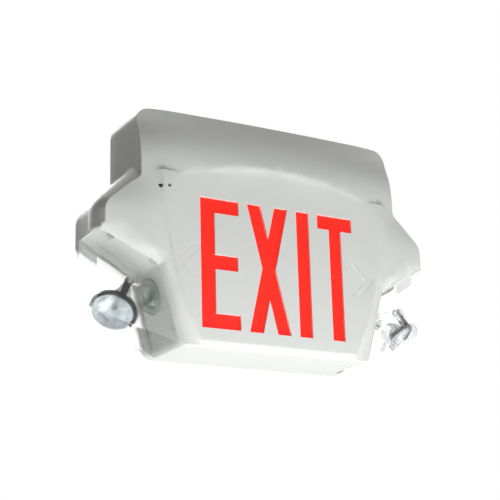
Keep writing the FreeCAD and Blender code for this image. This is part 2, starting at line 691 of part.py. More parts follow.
def bowl_profile(grow, depth):
    """Half profile of the reflector bowl, from its throat to its rim."""
    throat, steps = 7.5 + grow, 3
    points = []
    for k in range(steps + 1):
        t = k / steps
        radius = throat + (lamp_r - 2.2 + grow - throat) * t ** 0.62
        points.append((radius, -depth * (1 - t) - 1.6))
    return points


def lamp_reflector():
    """Pressed-glass bowl of the lamp, with its rim and its base."""
    outer = bowl_profile(1.6, lamp_depth)
    inner = bowl_profile(0.0, lamp_depth - 1.6)
    low = -lamp_depth - 1.6
    profile = inner[::-1] + [(2.6, inner[0][1]), (2.6, low - neck_len), (neck_r, low - neck_len), (neck_r, low)]
    profile += outer + [(lamp_r, -1.6), (lamp_r, 0.0), (lamp_r - 2.2, 0.0)]
    return turned(profile, lamp_face, lamp_aim, arm_side())


def lamp_lens():
    """Domed front glass in the rim."""
    edge = lamp_r - 2.25
    profile = [(0.0, -1.5), (edge, -1.5), (edge, -0.1)]
    profile += [(edge * 0.6, 2.2), (0.0, 2.9)]
    return turned(profile, lamp_face, lamp_aim, arm_side())


def lamp_capsule():
    """Halogen capsule in the throat of the bowl."""
    low = -lamp_depth - 6.0
    profile = [(0.0, low), (2.6, low), (2.6, -lamp_depth + 1.0), (4.2, -lamp_depth + 3.0), (4.2, -9.0),
               (1.6, -6.0), (0.0, -6.0)]
    return turned(profile, lamp_face, lamp_aim, arm_side())


def lamp_socket():
    """Ceramic socket on the base of the lamp."""
    low = -lamp_depth - 1.6 - neck_len
    side = arm_side()
    block = box(-7.5, 7.5, -4.5, 4.5, low - 6.0, low)
    skirt = turned([(neck_r, low), (neck_r + 1.4, low), (neck_r + 1.4, low + 6.0), (neck_r, low + 6.0)],
                   V(0, 0, 0), V(0, 0, 1), V(1, 0, 0))
    solid = block.fuse(skirt).cut(rod(2.0, V(0, 0, low - 8), V(0, 0, low - 4)))
    solid.Placement = Placement(lamp_face, Rotation(side, lamp_aim.cross(side), lamp_aim, "ZXY"))
    return solid


# ---------------------------------------------------------------- the part
def build_nodes():
    """Every node of the part by name."""
    outside = body_outside()
    nodes = {
        "front_cover": front_cover(outside),
        "back_plate": back_plate(),
        "legend_diffuser": diffuser(),
        "light_box": light_box(),
        "led_strip_upper": led_strip(True),
        "led_strip_lower": led_strip(False),
        "test_button": test_button(),
        "test_switch": test_switch(),
        "status_light": status_light(),
        "battery": battery(),
        "battery_strap": battery_strap(),
        "charger_board": charger_board(),
        "transformer": transformer(),
        "terminal_block": terminal_block(),
    }
    lamp_bay = {
        "lamp_cover": lamp_cover(outside),
        "swivel_base": swivel_base(),
        "pan_hub": pan_hub(),
        "swivel_dome": swivel_dome(),
        "tilt_screw": tilt_screw(),
        "lamp_arm": lamp_arm(),
        "lamp_ring": lamp_ring(),
        "lamp_reflector": lamp_reflector(),
        "lamp_lens": lamp_lens(),
        "lamp_capsule": lamp_capsule(),
        "lamp_socket": lamp_socket(),
    }
    for name, shape in lamp_bay.items():
        nodes[name + "_right"] = shape
        nodes[name + "_left"] = mirrored(shape)
    return nodes


def main():
    """Write one STEP file for each node."""
    os.makedirs("parts", exist_ok=True)
    for name, shape in build_nodes().items():
        if not shape.isValid():
            print("not valid:", name)
        shape.exportStep("parts/" + name + ".step")
        print(f"{name}: {len(shape.Solids)} solid(s), {shape.Volume:.0f} mm3")


main()
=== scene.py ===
"""Looks of a wall-mounted emergency exit light: lit red legend, flared wings, two aimed lamps.

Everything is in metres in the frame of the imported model: X to the reader's right, the wall at
Y = 0 with the legend facing -Y, and Z up. Lengths below are written in millimetres and are
turned to metres where a mesh is made.
"""

import json
import logging
import math
from dataclasses import dataclass, field
from enum import Enum
from typing import Any, Iterable, Sequence

import bmesh
import bpy
from mathutils import Matrix, Vector

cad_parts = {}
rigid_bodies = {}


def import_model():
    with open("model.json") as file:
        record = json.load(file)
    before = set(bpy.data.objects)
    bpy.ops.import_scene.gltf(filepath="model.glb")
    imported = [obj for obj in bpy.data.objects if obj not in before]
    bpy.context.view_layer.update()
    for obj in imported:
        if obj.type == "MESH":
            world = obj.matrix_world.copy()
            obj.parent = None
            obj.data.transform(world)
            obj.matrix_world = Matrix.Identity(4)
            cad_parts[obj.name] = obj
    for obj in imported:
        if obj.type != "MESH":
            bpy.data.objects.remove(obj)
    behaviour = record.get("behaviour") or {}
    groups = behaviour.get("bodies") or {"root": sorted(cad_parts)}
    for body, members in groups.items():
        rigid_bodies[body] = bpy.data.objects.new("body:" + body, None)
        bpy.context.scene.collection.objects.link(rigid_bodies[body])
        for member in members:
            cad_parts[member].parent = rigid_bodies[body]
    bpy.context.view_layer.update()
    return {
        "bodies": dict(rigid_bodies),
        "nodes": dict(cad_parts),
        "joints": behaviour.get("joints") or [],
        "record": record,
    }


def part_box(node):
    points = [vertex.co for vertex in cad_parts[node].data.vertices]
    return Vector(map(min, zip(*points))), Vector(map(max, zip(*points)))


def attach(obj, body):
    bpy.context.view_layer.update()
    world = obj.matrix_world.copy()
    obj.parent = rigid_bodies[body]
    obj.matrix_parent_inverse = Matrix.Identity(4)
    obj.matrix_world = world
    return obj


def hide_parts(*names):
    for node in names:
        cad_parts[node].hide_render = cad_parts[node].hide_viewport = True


LOG = logging.getLogger("exit_light")
MM = 0.001
NOISE_DETAIL = 3.0
WEAR_SHARE = 1 / 3  # size of the patches of wear against the clouds of colour

Point2 = tuple[float, float]
Point3 = tuple[float, float, float]
WHITE = (1.0, 1.0, 1.0, 1.0)


# ------------------------------------------------------------------ nodes
def set_inputs(tree: bpy.types.NodeTree, node: bpy.types.Node, inputs: dict[Any, Any]) -> None:
    """Sets or links the inputs of a node.

    Args:
        tree: The tree that holds the node.
        node: The node.
        inputs: A value or an output socket for each input, by its name or number.
    """
    for key, value in inputs.items():
        if isinstance(value, bpy.types.NodeSocket):
            tree.links.new(value, node.inputs[key])
        else:
            node.inputs[key].default_value = value


def add_node(
    tree: bpy.types.NodeTree,
    kind: str,
    inputs: dict[Any, Any] | None = None,
    **settings: Any,
) -> bpy.types.Node:
    """Adds a node with its settings and links.

    Args:
        tree: The tree to add to.
        kind: Blender's name for the kind of node.
        inputs: A value or an output socket for each input, by its name or number.
        **settings: Attributes of the node, set before its inputs.

    Returns:
        The node.
    """
    node = tree.nodes.new(kind)
    for name, value in settings.items():
        setattr(node, name, value)
    set_inputs(tree, node, inputs or {})
    return node


# ------------------------------------------------------------------ finishes
def linear(hex_colour: str, alpha: float = 1.0) -> tuple[float, float, float, float]:
    """Turns an sRGB hex colour into linear RGBA.

    Args:
        hex_colour: Six hex digits with a leading hash.
        alpha: Alpha to return with the colour.

    Returns:
        Linear red, green, blue and alpha.
    """
    channels = [int(hex_colour[i : i + 2], 16) / 255 for i in (1, 3, 5)]
    values = [c / 12.92 if c <= 0.04045 else ((c + 0.055) / 1.055) ** 2.4 for c in channels]
    return values[0], values[1], values[2], alpha


class Grain(Enum):
    """Kinds of fine surface relief: noise size in millimetres and bump height in millimetres."""

    NONE = (0.0, 0.0)
    MOULD_TEXTURE = (0.55, 0.012)
    SATIN = (0.9, 0.006)
    POLISHED = (14.0, 0.02)
    CAST = (0.4, 0.03)
    BRUSHED = (0.25, 0.008)


@dataclass(frozen=True)
class Finish:
    """A real surface finish.

    Attributes:
        name: Material name.
        colour: sRGB hex colour.
        roughness: Typical roughness.
        roughness_spread: How far the roughness wanders either way.
        ior: Index of refraction.
        metallic: 1 for bare metal.
        transmission: 1 for clear material.
        grain: Fine relief.
        shade: How much darker the darkest cloud of the colour is, from 0 to 1.
        shade_size: Size of these clouds in millimetres.
        glow: Emission strength in the same colour.
        alpha: Coverage; thin clear walls let part of the light straight through.
    """

    name: str
    colour: str
    roughness: float
    roughness_spread: float = 0.05
    ior: float = 1.5
    metallic: float = 0.0
    transmission: float = 0.0
    grain: Grain = Grain.SATIN
    shade: float = 0.05
    shade_size: float = 30.0
    glow: float = 0.0
    alpha: float = 1.0

    def material(self) -> bpy.types.Material:
        """Returns the node material of this finish, made on first use.

        Returns:
            The material.
        """
        found = bpy.data.materials.get(self.name)
        if found is not None:
            return found
        material = bpy.data.materials.new(self.name)
        material.use_nodes = True
        tree = material.node_tree
        colour = linear(self.colour)
        inputs: dict[Any, Any] = {
            "Base Color": colour,
            "Roughness": self.roughness,
            "IOR": self.ior,
            "Metallic": self.metallic,
            "Transmission Weight": self.transmission,
            "Alpha": self.alpha,
        }
        place = add_node(tree, "ShaderNodeTexCoord").outputs["Object"]
        if self.shade > 0:
            dark = tuple(c * (1 - self.shade) for c in colour[:3]) + (1.0,)
            clouds = self._noise(tree, place, self.shade_size)
            mixed = {"Factor": clouds, "A": dark, "B": colour}
            mix = add_node(tree, "ShaderNodeMix", mixed, data_type="RGBA")
            inputs["Base Color"] = mix.outputs["Result"]
        if self.roughness_spread > 0:
            limits = {
                "Value": self._noise(tree, place, self.shade_size * WEAR_SHARE),
                "To Min": max(self.roughness - self.roughness_spread, 0.0),
                "To Max": self.roughness + self.roughness_spread,
            }
            inputs["Roughness"] = add_node(tree, "ShaderNodeMapRange", limits).outputs["Result"]
        size, height = self.grain.value
        if height > 0:
            relief = {
                "Strength": 1.0,
                "Distance": height * MM,
                "Height": self._noise(tree, place, size),
            }
            inputs["Normal"] = add_node(tree, "ShaderNodeBump", relief).outputs["Normal"]
        if self.glow > 0:
            inputs["Emission Color"] = colour
            inputs["Emission Strength"] = self.glow
        set_inputs(tree, tree.nodes["Principled BSDF"], inputs)
        return material

    @staticmethod
    def _noise(
        tree: bpy.types.NodeTree, place: bpy.types.NodeSocket, size_mm: float
    ) -> bpy.types.NodeSocket:
        """Adds a noise texture on Object coordinates.

        Args:
            tree: The tree to add to.
            place: Object coordinates.
            size_mm: Size of one grain.

        Returns:
            The noise.
        """
        inputs = {"Scale": 1.0 / (size_mm * MM), "Detail": NOISE_DETAIL, "Vector": place}
        return add_node(tree, "ShaderNodeTexNoise", inputs).outputs["Fac"]


# Moulded ABS: an even, slightly warm white with a fine mould texture that softens highlights.
HOUSING = Finish(
    "white_moulded_abs", "#E6E8E4", 0.42, 0.04, 1.54, grain=Grain.MOULD_TEXTURE, shade=0.02
)
# Film lit from behind: a flat, even red without a highlight.
LEGEND = Finish(
    "red_translucent_film", "#F21A08", 0.5, 0.02, 1.49, grain=Grain.NONE, shade=0.0, glow=0.62
)
# Light box and LED strips, hidden behind the legend: matt whites.
TRAY = Finish("white_reflector_tray", "#F2F2F0", 0.6, 0.03, 1.54)
STRIP = Finish("white_circuit_strip", "#E9E6DC", 0.45, 0.04, 1.55)
# Thin polycarbonate covers: almost unseen on the flat, bright at the edges.
CLEAR = Finish(
    "clear_polycarbonate", "#FBFDFD", 0.015, 0.01, 1.585,
    transmission=1.0, grain=Grain.NONE, shade=0.0, alpha=0.2,
)
# Thicker moulded caps over the swivels: the same plastic, with a fuller and faintly green body.
DOME = Finish(
    "clear_moulded_cap", "#EDF5F0", 0.03, 0.01, 1.585,
    transmission=1.0, grain=Grain.NONE, shade=0.0, alpha=0.35,
)
# Arms, rims and the test button: near black with a dull sheen.
BLACK = Finish(
    "black_glass_filled_nylon", "#0D0D0E", 0.45, 0.08, 1.53, grain=Grain.MOULD_TEXTURE
)
# Swivel bases: a grey-green, waxy plastic.
DISC = Finish("grey_green_acetal", "#8C968B", 0.38, 0.05, 1.48, grain=Grain.MOULD_TEXTURE)
# Coated bowl: a bright, slightly soft mirror broken up by its facets.
MIRROR = Finish(
    "aluminised_glass", "#F2F6F8", 0.14, 0.03, 1.44,
    metallic=1.0, grain=Grain.NONE, shade=0.06, shade_size=6.0,
)
# Front glass of a lamp: clear, with a highlight on its dome.
PRESSED = Finish(
    "pressed_glass", "#F4FAFC", 0.02, 0.01, 1.474,
    transmission=1.0, grain=Grain.NONE, shade=0.0, alpha=0.3,
)
# Capsule of a lamp: colourless glass.
QUARTZ = Finish(
    "quartz_glass", "#FFFFFF", 0.02, 0.01, 1.458, transmission=1.0, grain=Grain.NONE, shade=0.0
)
# Lamp sockets: chalky, slightly rough off-white.
CERAMIC = Finish("steatite_ceramic", "#E4DFD2", 0.5, 0.08, 1.6, grain=Grain.CAST)
# Screws and washers: a darkish bright metal.
PLATED = Finish(
    "nickel_plated_steel", "#8D8B88", 0.2, 0.06, 1.5, metallic=1.0, grain=Grain.SATIN, shade=0.1
)
# Battery strap and transformer: grey, dulled sheet metal.
ZINC = Finish(
    "zinc_plated_sheet", "#AEB2B4", 0.36, 0.08, 1.5,
    metallic=1.0, grain=Grain.BRUSHED, shade=0.12,
)
# Inner parts: coated circuit board, battery case and terminal block.
MASK = Finish("green_solder_mask", "#1D5A33", 0.32, 0.05, 1.55)
CASE = Finish("black_battery_abs", "#202124", 0.42, 0.06, 1.54, grain=Grain.MOULD_TEXTURE)
NYLON = Finish("natural_nylon", "#DEDACB", 0.45, 0.05, 1.53)
# Status light while it is off: a small grey, glossy dot.
PIPE = Finish("smoked_light_pipe", "#6E7170", 0.2, 0.04, 1.49, grain=Grain.NONE)
# Floor: matt pale paint that keeps the shadow.
PAINT = Finish("pale_studio_floor", "#F4F4F2", 0.8, 0.03, 1.45)

NODE_FINISHES: dict[str, Finish] = {
    "back_plate": HOUSING,
    "legend_diffuser": LEGEND,
    "light_box": TRAY,
    "led_strip_upper": STRIP,
    "led_strip_lower": STRIP,
    "test_button": BLACK,
    "test_switch": BLACK,
    "status_light": PIPE,
    "battery": CASE,
    "battery_strap": ZINC,
    "charger_board": MASK,
    "transformer": ZINC,
    "terminal_block": NYLON,
    "lamp_cover": CLEAR,
    "swivel_base": DISC,
    "pan_hub": BLACK,
    "swivel_dome": DOME,
    "tilt_screw": PLATED,
    "lamp_arm": BLACK,
    "lamp_ring": BLACK,
    "lamp_reflector": MIRROR,
    "lamp_lens": PRESSED,
    "lamp_capsule": QUARTZ,
    "lamp_socket": CERAMIC,
}


# ------------------------------------------------------------------ mesh helpers
def to_metres(points: Iterable[Sequence[float]]) -> list[Vector]:
    """Scales points from millimetres to metres.

    Args:
        points: Points in millimetres.

    Returns:
        The points as vectors in metres.
    """
    return [Vector(p) * MM for p in points]


def make_object(name: str, mesh: bpy.types.Mesh, finish: Finish | None = None) -> bpy.types.Object:
    """Puts a mesh into the scene.

    Args:
        name: Name of the object and its mesh.
        mesh: The mesh.
        finish: Its finish, or None to keep the materials that it has.

    Returns:
        The new object, at the origin.
    """
    mesh.name = name
    if finish is not None:
        mesh.materials.clear()
        mesh.materials.append(finish.material())
    piece = bpy.data.objects.new(name, mesh)
    bpy.context.scene.collection.objects.link(piece)
    return piece


def mesh_from(
    name: str, points: Iterable[Sequence[float]], faces: Sequence[Sequence[int]]
) -> bpy.types.Mesh:
    """Makes a mesh with its faces turned outward.

    Args:
        name: Name of the mesh.
        points: Points in millimetres.
        faces: Indices of each face's corners.

    Returns:
        The mesh, in metres.
    """
    mesh = bpy.data.meshes.new(name)
    mesh.from_pydata(to_metres(points), [], faces)
    form = bmesh.new()
    form.from_mesh(mesh)
    bmesh.ops.remove_doubles(form, verts=form.verts, dist=1e-7)
    bmesh.ops.recalc_face_normals(form, faces=form.faces)
    form.to_mesh(mesh)
    form.free()
    return mesh


def shade(mesh: bpy.types.Mesh, sharp_degrees: float) -> None:
    """Shades a mesh smooth, with creases kept sharp.

    Args:
        mesh: The mesh.
        sharp_degrees: Edges that turn more than this stay sharp.
    """
    mesh.polygons.foreach_set("use_smooth", [True] * len(mesh.polygons))
    mesh.set_sharp_from_angle(angle=math.radians(sharp_degrees))


def baked(piece: bpy.types.Object) -> None:
    """Turns a piece's modifiers into its mesh and removes them.

    Args:
        piece: The object to change.
    """
    graph = bpy.context.evaluated_depsgraph_get()
    graph.update()
    mesh = bpy.data.meshes.new_from_object(piece.evaluated_get(graph))
    piece.modifiers.clear()
    old, piece.data = piece.data, mesh
    mesh.name = piece.name
    bpy.data.meshes.remove(old)


def cut(piece: bpy.types.Object, cutter: bpy.types.Object) -> None:
    """Cuts one piece with another and removes the cutter.

    Args:
        piece: The piece to cut.
        cutter: Closed solid to take away.
    """
    modifier = piece.modifiers.new("cut", "BOOLEAN")
    modifier.operation = "DIFFERENCE"
    modifier.solver = "EXACT"
    modifier.use_self = True
    modifier.object = cutter
    baked(piece)
    bpy.data.objects.remove(cutter)


def lathe(
    name: str,
    profile: Sequence[Point2],
    place: Matrix,
    segments: int = 96,
    closed: bool = True,
) -> bpy.types.Mesh:
    """Turns a profile about an axis.

    Args:
        name: Name of the mesh.
        profile: (radius, height along the axis) in millimetres.
        place: Millimetre matrix whose Z is the axis.
        segments: Steps round the axis.
        closed: True to join the profile's last point to its first.

    Returns:
        The mesh.
    """
    points, faces = [], []
    count = len(profile)
    for k in range(segments):
        a = 2 * math.pi * k / segments
        for r, h in profile:
            points.append(place @ Vector((r * math.cos(a), r * math.sin(a), h)))
    for k in range(segments):
        near, far = k * count, (k + 1) % segments * count
        for j in range(count if closed else count - 1):
            faces.append((near + j, far + j, far + (j + 1) % count, near + (j + 1) % count))
    mesh = mesh_from(name, points, faces)
    form = bmesh.new()
    form.from_mesh(mesh)
    bmesh.ops.dissolve_degenerate(form, dist=1e-7, edges=form.edges)
    form.to_mesh(mesh)
    form.free()
    return mesh


def prism(name: str, outline: Sequence[Point2], y0: float, y1: float) -> bpy.types.Mesh:
    """Extrudes an outline in the XZ plane along Y.

    Args:
        name: Name of the mesh.
        outline: (x, z) corners in millimetres.
        y0: Where the prism starts.
        y1: Where it ends.

    Returns:
        The mesh.
    """
    count = len(outline)
    points = [(x, y, z) for y in (y0, y1) for x, z in outline]
    faces = [tuple(range(count)), tuple(range(2 * count - 1, count - 1, -1))]
    faces += [(i, i + count, (i + 1) % count + count, (i + 1) % count) for i in range(count)]
    return mesh_from(name, points, faces)


def joined(name: str, meshes: Sequence[bpy.types.Mesh]) -> bpy.types.Mesh:
    """Joins meshes into one.

    Args:
        name: Name of the new mesh.
        meshes: The meshes, which are removed.

    Returns:
        The new mesh.
    """
    form = bmesh.new()
    for mesh in meshes:
        form.from_mesh(mesh)
        bpy.data.meshes.remove(mesh)
    result = bpy.data.meshes.new(name)
    form.to_mesh(result)
    form.free()
    return result


class Repeater:
    """Geometry Nodes tree that puts one small mesh on many places."""

    TREE = "repeat_on_places"

    @classmethod
    def tree(cls) -> bpy.types.GeometryNodeTree:
        """Returns the node tree, made on first use.

        Returns:
            The tree, with inputs Geometry, Pattern and Finish.
        """
        found = bpy.data.node_groups.get(cls.TREE)
        if found is not None:
            return found
        tree = bpy.data.node_groups.new(cls.TREE, "GeometryNodeTree")
        for name, way, kind in (
            ("Geometry", "INPUT", "NodeSocketGeometry"),
            ("Pattern", "INPUT", "NodeSocketObject"),
            ("Finish", "INPUT", "NodeSocketMaterial"),
            ("Geometry", "OUTPUT", "NodeSocketGeometry"),
        ):
            tree.interface.new_socket(name, in_out=way, socket_type=kind)
        entry = add_node(tree, "NodeGroupInput").outputs
        turn, size = (
            add_node(
                tree, "GeometryNodeInputNamedAttribute", {"Name": name}, data_type="FLOAT_VECTOR"
            ).outputs["Attribute"]
            for name in ("turn", "size")
        )
        pattern = add_node(tree, "GeometryNodeObjectInfo", {"Object": entry["Pattern"]})
        spread = {
            "Points": entry["Geometry"],
            "Instance": pattern.outputs["Geometry"],
            "Rotation": turn,
            "Scale": size,
        }
        place = add_node(tree, "GeometryNodeInstanceOnPoints", spread)
        copies = {"Geometry": place.outputs["Instances"]}
        real = add_node(tree, "GeometryNodeRealizeInstances", copies)
        dressed = {"Geometry": real.outputs["Geometry"], "Material": entry["Finish"]}
        dress = add_node(tree, "GeometryNodeSetMaterial", dressed)
        add_node(tree, "NodeGroupOutput", {"Geometry": dress.outputs["Geometry"]})
        return tree

    @classmethod
    def run(
        cls, name: str, pattern: bpy.types.Mesh, places: Sequence[Matrix], finish: Finish
    ) -> bpy.types.Object:
        """Repeats a pattern and returns the result as a plain mesh object.

        Args:
            name: Name of the object.
            pattern: Small mesh about its own origin, in metres; it is removed.
            places: Millimetre matrices, one for each copy.
            finish: Finish of the copies.

        Returns:
            The new object.
        """
        mesh = bpy.data.meshes.new(name)
        mesh.from_pydata([p.translation * MM for p in places], [], [])
        for attribute, values in (
            ("turn", [tuple(p.to_euler()) for p in places]),
            ("size", [tuple(p.to_scale()) for p in places]),
        ):
            data = mesh.attributes.new(attribute, "FLOAT_VECTOR", "POINT").data
            for item, value in zip(data, values):
                item.vector = value
        piece = make_object(name, mesh)
        stamp = bpy.data.objects.new(name + "_pattern", pattern)
        modifier = piece.modifiers.new("repeat", "NODES")
        tree = cls.tree()
        modifier.node_group = tree
        sockets = {i.name: i.identifier for i in tree.interface.items_tree if i.in_out == "INPUT"}
        modifier[sockets["Pattern"]] = stamp
        modifier[sockets["Finish"]] = finish.material()
        baked(piece)
        bpy.data.objects.remove(stamp)
        bpy.data.meshes.remove(pattern)
        return piece


def axes(origin: Sequence[float], axis: Vector, side: Vector) -> Matrix:
    """Makes a millimetre matrix from an origin, its Z and roughly its X.

    Args:
        origin: Origin in millimetres.
        axis: Direction of Z.
        side: Direction near X.

    Returns:
        The matrix.
    """
    z = axis.normalized()
    x = (side - z * side.dot(z)).normalized()
    y = z.cross(x)
    matrix = Matrix((x, y, z)).transposed().to_4x4()
    matrix.translation = Vector(origin)
    return matrix


def corners_mm(node: str) -> tuple[Vector, Vector]:
    """Lowest and highest corner of a CAD node in millimetres.

    Args:
        node: Name of the node.

    Returns:
        The two corners.
    """
    low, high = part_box(node)
    return Vector(low) / MM, Vector(high) / MM


# ------------------------------------------------------------------ the legend
@dataclass(frozen=True)
class Legend:
    """The word cut through the panel, in upright block letters.

    Attributes:
        height: Height of the letters.
        stem: Width of the upright strokes.
        bar: Height of the level strokes.
        middle_z: Middle of the letters.
        widths: Width of each letter.
        gaps: Space between one letter and the next.
        diagonal: Level width of a diagonal stroke.
        t_stem: Width of the upright of the T.
        middle_bar_rise: How far the middle bar of the E lies above the middle.
        middle_bar_short: How much shorter that bar is than the others.
    """

    height: float = 152.4
    stem: float = 18.2
    bar: float = 17.45
    middle_z: float = -42.0
    widths: tuple[float, ...] = (49.3, 54.4, 17.2, 48.4)
    gaps: tuple[float, ...] = (11.2, 11.6, 12.0)
    diagonal: float = 17.7
    t_stem: float = 16.7
    middle_bar_rise: float = 0.9
    middle_bar_short: float = 2.0

    def outlines(self) -> list[list[Point2]]:
        """Outlines of the letters in the XZ plane.

        Returns:
            One closed outline for each letter, in millimetres.
        """
        half = self.height / 2
        left = -(sum(self.widths) + sum(self.gaps)) / 2
        starts = [left]
        for width, gap in zip(self.widths, self.gaps):
            starts.append(starts[-1] + width + gap)
        shapes = [self._e(), self._x(), self._i(), self._t()]
        return [
            [(x + start, z - half + self.middle_z) for x, z in shape]
            for shape, start in zip(shapes, starts)
        ]

    def _e(self) -> list[Point2]:
        """Outline of the E."""
        w, h, s, b = self.widths[0], self.height, self.stem, self.bar
        low = h / 2 + self.middle_bar_rise - b / 2
        short = w - self.middle_bar_short
        return [
            (0, 0), (w, 0), (w, b), (s, b), (s, low), (short, low),
            (short, low + b), (s, low + b), (s, h - b), (w, h - b), (w, h), (0, h),
        ]

    def _x(self) -> list[Point2]:
        """Outline of the X."""
        w, h, d = self.widths[1], self.height, self.diagonal
        run = w - d
        rise = h * (run - d) / (2 * run)
        return [
            (0, 0), (d, 0), (w / 2, rise), (run, 0), (w, 0), (w - run / 2, h / 2),
            (w, h), (run, h), (w / 2, h - rise), (d, h), (0, h), (run / 2, h / 2),
        ]

    def _i(self) -> list[Point2]:
        """Outline of the I."""
        w, h = self.widths[2], self.height
        return [(0, 0), (w, 0), (w, h), (0, h)]

    def _t(self) -> list[Point2]:
        """Outline of the T."""
        w, h, b, s = self.widths[3], self.height, self.bar, self.t_stem
        a = (w - s) / 2
        return [
            (a, 0), (a + s, 0), (a + s, h - b), (w, h - b), (w, h), (0, h), (0, h - b), (a, h - b),
        ]


@dataclass
class Housing:
    """The moulded front with its cut legend and the scored arrows beside it.

    Attributes:
        legend: The word.
        arrow_x: Half distance between the arrows' points.
        arrow_z: Height of the points.
        arrow_reach: How far an arrow runs back from its point.
        arrow_rise: Half height of an arrow.
        arrow_band: Width of an arrow's band.
        score_w: Width of a scored line.
        score_depth: Its depth.
        wall: Wall of the panel.
        overcut: How far a cutter starts in front of the face.
        undercut: How far a letter's cutter runs on behind the wall.
        sharp_degrees: Edges that turn more than this stay sharp.
    """

    legend: Legend = field(default_factory=Legend)
    arrow_x: float = 129.0
    arrow_z: float = -42.0
    arrow_reach: float = 19.0
    arrow_rise: float = 19.0
    arrow_band: float = 11.0
    score_w: float = 0.7
    score_depth: float = 0.35
    wall: float = 2.6
    overcut: float = 1.0
    undercut: float = 0.2
    sharp_degrees: float = 28

    def build(self, frame: dict) -> None:
        """Builds the front and hides the plain one.

        Args:
            frame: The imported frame.
        """
        low, _ = corners_mm("legend_diffuser")
        back_of_wall = low.y
        source = frame["nodes"]["front_cover"]
        shell = make_object("housing_front", source.data.copy(), HOUSING)
        weld(shell.data)
        face_y = back_of_wall - self.wall
        cutters = [
            prism(f"letter_{i}", outline, face_y - self.overcut, back_of_wall + self.undercut)
            for i, outline in enumerate(self.legend.outlines())
        ]
        cutters += self._score_cutters(face_y)
        cut(shell, make_object("legend_cutter", joined("legend_cutter", cutters)))
        shade(shell.data, self.sharp_degrees)
        weigh(shell)
        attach(shell, "housing")
        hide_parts("front_cover")

    def _score_cutters(self, face_y: float) -> list[bpy.types.Mesh]:
        """Thin grooves that outline a break-out arrow on each side of the word.

        Args:
            face_y: Depth of the legend face.

        Returns:
            The cutters.
        """
        cutters = []
        for sign in (1, -1):
            tip = (sign * self.arrow_x, self.arrow_z)
            tail_x = sign * (self.arrow_x - self.arrow_reach)
            inner_tip = (sign * (self.arrow_x - self.arrow_band), self.arrow_z)
            ends = []
            for up in (1, -1):
                outer = (tail_x, self.arrow_z + up * self.arrow_rise)
                inner = (tail_x - sign * self.arrow_band, self.arrow_z + up * self.arrow_rise)
                ends.append((outer, inner))
            path = [ends[0][0], tip, ends[1][0], ends[1][1], inner_tip, ends[0][1]]
            for i, start in enumerate(path):
                end = path[(i + 1) % len(path)]
                cutters.append(self._groove(start, end, face_y))
        return cutters

    def _groove(self, start: Point2, end: Point2, face_y: float) -> bpy.types.Mesh:
        """One straight groove.

        Args:
            start: One end.
            end: The other end.
            face_y: Depth of the face that it is scored into.

        Returns:
            The cutter.
        """
        along = Vector(end) - Vector(start)
        side = Vector((-along.y, along.x)).normalized() * self.score_w / 2
        a, b = Vector(start), Vector(end)
        outline = [tuple(a + side), tuple(b + side), tuple(b - side), tuple(a - side)]
        return prism("groove", outline, face_y - self.overcut, face_y + self.score_depth)


